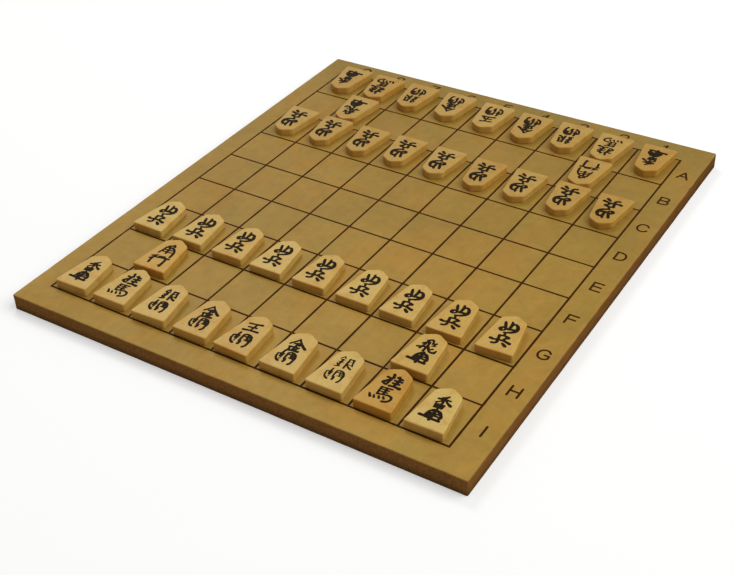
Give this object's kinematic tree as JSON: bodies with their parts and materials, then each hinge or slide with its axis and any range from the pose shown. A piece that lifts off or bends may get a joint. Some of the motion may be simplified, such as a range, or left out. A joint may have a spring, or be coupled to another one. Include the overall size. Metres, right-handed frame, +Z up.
{
  "type": "shogi board set with pieces",
  "caption": "Flat wooden shogi board with a ruled grid and a bare margin, set out with pointed wedge-shaped wooden pieces that lift off one by one.",
  "frame": {"origin": "on the underside, at the middle of the board", "axes": "+X along the near edge from the near player's left to right, +Y from the near player to the far player, +Z up"},
  "size_m": [0.3038, 0.3516, 0.0162],
  "materials": {
    "board_wood": "satin, honey-brown stained and varnished softwood",
    "line_lacquer": "dark brown printed lacquer, semi-matt",
    "piece_wood": "pale yellow-brown polished hardwood, each piece a little different in tone"
  },
  "bodies": {
    "board": {"board": "board_wood", "grid_lines": "line_lacquer"},
    "bishop_2b": {"bishop_2b": "piece_wood"},
    "bishop_8h": {"bishop_8h": "piece_wood"},
    "gold_4a": {"gold_4a": "piece_wood"},
    "gold_4i": {"gold_4i": "piece_wood"},
    "gold_6a": {"gold_6a": "piece_wood"},
    "gold_6i": {"gold_6i": "piece_wood"},
    "king_5a": {"king_5a": "piece_wood"},
    "king_5i": {"king_5i": "piece_wood"},
    "knight_2a": {"knight_2a": "piece_wood"},
    "knight_2i": {"knight_2i": "piece_wood"},
    "knight_8a": {"knight_8a": "piece_wood"},
    "knight_8i": {"knight_8i": "piece_wood"},
    "lance_1a": {"lance_1a": "piece_wood"},
    "lance_1i": {"lance_1i": "piece_wood"},
    "lance_9a": {"lance_9a": "piece_wood"},
    "lance_9i": {"lance_9i": "piece_wood"},
    "pawn_1c": {"pawn_1c": "piece_wood"},
    "pawn_1g": {"pawn_1g": "piece_wood"},
    "pawn_2c": {"pawn_2c": "piece_wood"},
    "pawn_2g": {"pawn_2g": "piece_wood"},
    "pawn_3c": {"pawn_3c": "piece_wood"},
    "pawn_3g": {"pawn_3g": "piece_wood"},
    "pawn_4c": {"pawn_4c": "piece_wood"},
    "pawn_4g": {"pawn_4g": "piece_wood"},
    "pawn_5c": {"pawn_5c": "piece_wood"},
    "pawn_5g": {"pawn_5g": "piece_wood"},
    "pawn_6c": {"pawn_6c": "piece_wood"},
    "pawn_6g": {"pawn_6g": "piece_wood"},
    "pawn_7c": {"pawn_7c": "piece_wood"},
    "pawn_7g": {"pawn_7g": "piece_wood"},
    "pawn_8c": {"pawn_8c": "piece_wood"},
    "pawn_8g": {"pawn_8g": "piece_wood"},
    "pawn_9c": {"pawn_9c": "piece_wood"},
    "pawn_9g": {"pawn_9g": "piece_wood"},
    "rook_2h": {"rook_2h": "piece_wood"},
    "rook_8b": {"rook_8b": "piece_wood"},
    "silver_3a": {"silver_3a": "piece_wood"},
    "silver_3i": {"silver_3i": "piece_wood"},
    "silver_7a": {"silver_7a": "piece_wood"},
    "silver_7i": {"silver_7i": "piece_wood"}
  },
  "joints": [
    {"name": "bishop_2b_lift", "type": "slide", "parent": "board", "child": "bishop_2b", "axis": [0, 0, 1], "range_m": [0, 0.03]},
    {"name": "bishop_8h_lift", "type": "slide", "parent": "board", "child": "bishop_8h", "axis": [0, 0, 1], "range_m": [0, 0.03]},
    {"name": "gold_4a_lift", "type": "slide", "parent": "board", "child": "gold_4a", "axis": [0, 0, 1], "range_m": [0, 0.03]},
    {"name": "gold_4i_lift", "type": "slide", "parent": "board", "child": "gold_4i", "axis": [0, 0, 1], "range_m": [0, 0.03]},
    {"name": "gold_6a_lift", "type": "slide", "parent": "board", "child": "gold_6a", "axis": [0, 0, 1], "range_m": [0, 0.03]},
    {"name": "gold_6i_lift", "type": "slide", "parent": "board", "child": "gold_6i", "axis": [0, 0, 1], "range_m": [0, 0.03]},
    {"name": "king_5a_lift", "type": "slide", "parent": "board", "child": "king_5a", "axis": [0, 0, 1], "range_m": [0, 0.03]},
    {"name": "king_5i_lift", "type": "slide", "parent": "board", "child": "king_5i", "axis": [0, 0, 1], "range_m": [0, 0.03]},
    {"name": "knight_2a_lift", "type": "slide", "parent": "board", "child": "knight_2a", "axis": [0, 0, 1], "range_m": [0, 0.03]},
    {"name": "knight_2i_lift", "type": "slide", "parent": "board", "child": "knight_2i", "axis": [0, 0, 1], "range_m": [0, 0.03]},
    {"name": "knight_8a_lift", "type": "slide", "parent": "board", "child": "knight_8a", "axis": [0, 0, 1], "range_m": [0, 0.03]},
    {"name": "knight_8i_lift", "type": "slide", "parent": "board", "child": "knight_8i", "axis": [0, 0, 1], "range_m": [0, 0.03]},
    {"name": "lance_1a_lift", "type": "slide", "parent": "board", "child": "lance_1a", "axis": [0, 0, 1], "range_m": [0, 0.03]},
    {"name": "lance_1i_lift", "type": "slide", "parent": "board", "child": "lance_1i", "axis": [0, 0, 1], "range_m": [0, 0.03]},
    {"name": "lance_9a_lift", "type": "slide", "parent": "board", "child": "lance_9a", "axis": [0, 0, 1], "range_m": [0, 0.03]},
    {"name": "lance_9i_lift", "type": "slide", "parent": "board", "child": "lance_9i", "axis": [0, 0, 1], "range_m": [0, 0.03]},
    {"name": "pawn_1c_lift", "type": "slide", "parent": "board", "child": "pawn_1c", "axis": [0, 0, 1], "range_m": [0, 0.03]},
    {"name": "pawn_1g_lift", "type": "slide", "parent": "board", "child": "pawn_1g", "axis": [0, 0, 1], "range_m": [0, 0.03]},
    {"name": "pawn_2c_lift", "type": "slide", "parent": "board", "child": "pawn_2c", "axis": [0, 0, 1], "range_m": [0, 0.03]},
    {"name": "pawn_2g_lift", "type": "slide", "parent": "board", "child": "pawn_2g", "axis": [0, 0, 1], "range_m": [0, 0.03]},
    {"name": "pawn_3c_lift", "type": "slide", "parent": "board", "child": "pawn_3c", "axis": [0, 0, 1], "range_m": [0, 0.03]},
    {"name": "pawn_3g_lift", "type": "slide", "parent": "board", "child": "pawn_3g", "axis": [0, 0, 1], "range_m": [0, 0.03]},
    {"name": "pawn_4c_lift", "type": "slide", "parent": "board", "child": "pawn_4c", "axis": [0, 0, 1], "range_m": [0, 0.03]},
    {"name": "pawn_4g_lift", "type": "slide", "parent": "board", "child": "pawn_4g", "axis": [0, 0, 1], "range_m": [0, 0.03]},
    {"name": "pawn_5c_lift", "type": "slide", "parent": "board", "child": "pawn_5c", "axis": [0, 0, 1], "range_m": [0, 0.03]},
    {"name": "pawn_5g_lift", "type": "slide", "parent": "board", "child": "pawn_5g", "axis": [0, 0, 1], "range_m": [0, 0.03]},
    {"name": "pawn_6c_lift", "type": "slide", "parent": "board", "child": "pawn_6c", "axis": [0, 0, 1], "range_m": [0, 0.03]},
    {"name": "pawn_6g_lift", "type": "slide", "parent": "board", "child": "pawn_6g", "axis": [0, 0, 1], "range_m": [0, 0.03]},
    {"name": "pawn_7c_lift", "type": "slide", "parent": "board", "child": "pawn_7c", "axis": [0, 0, 1], "range_m": [0, 0.03]},
    {"name": "pawn_7g_lift", "type": "slide", "parent": "board", "child": "pawn_7g", "axis": [0, 0, 1], "range_m": [0, 0.03]},
    {"name": "pawn_8c_lift", "type": "slide", "parent": "board", "child": "pawn_8c", "axis": [0, 0, 1], "range_m": [0, 0.03]},
    {"name": "pawn_8g_lift", "type": "slide", "parent": "board", "child": "pawn_8g", "axis": [0, 0, 1], "range_m": [0, 0.03]},
    {"name": "pawn_9c_lift", "type": "slide", "parent": "board", "child": "pawn_9c", "axis": [0, 0, 1], "range_m": [0, 0.03]},
    {"name": "pawn_9g_lift", "type": "slide", "parent": "board", "child": "pawn_9g", "axis": [0, 0, 1], "range_m": [0, 0.03]},
    {"name": "rook_2h_lift", "type": "slide", "parent": "board", "child": "rook_2h", "axis": [0, 0, 1], "range_m": [0, 0.03]},
    {"name": "rook_8b_lift", "type": "slide", "parent": "board", "child": "rook_8b", "axis": [0, 0, 1], "range_m": [0, 0.03]},
    {"name": "silver_3a_lift", "type": "slide", "parent": "board", "child": "silver_3a", "axis": [0, 0, 1], "range_m": [0, 0.03]},
    {"name": "silver_3i_lift", "type": "slide", "parent": "board", "child": "silver_3i", "axis": [0, 0, 1], "range_m": [0, 0.03]},
    {"name": "silver_7a_lift", "type": "slide", "parent": "board", "child": "silver_7a", "axis": [0, 0, 1], "range_m": [0, 0.03]},
    {"name": "silver_7i_lift", "type": "slide", "parent": "board", "child": "silver_7i", "axis": [0, 0, 1], "range_m": [0, 0.03]}
  ]
}
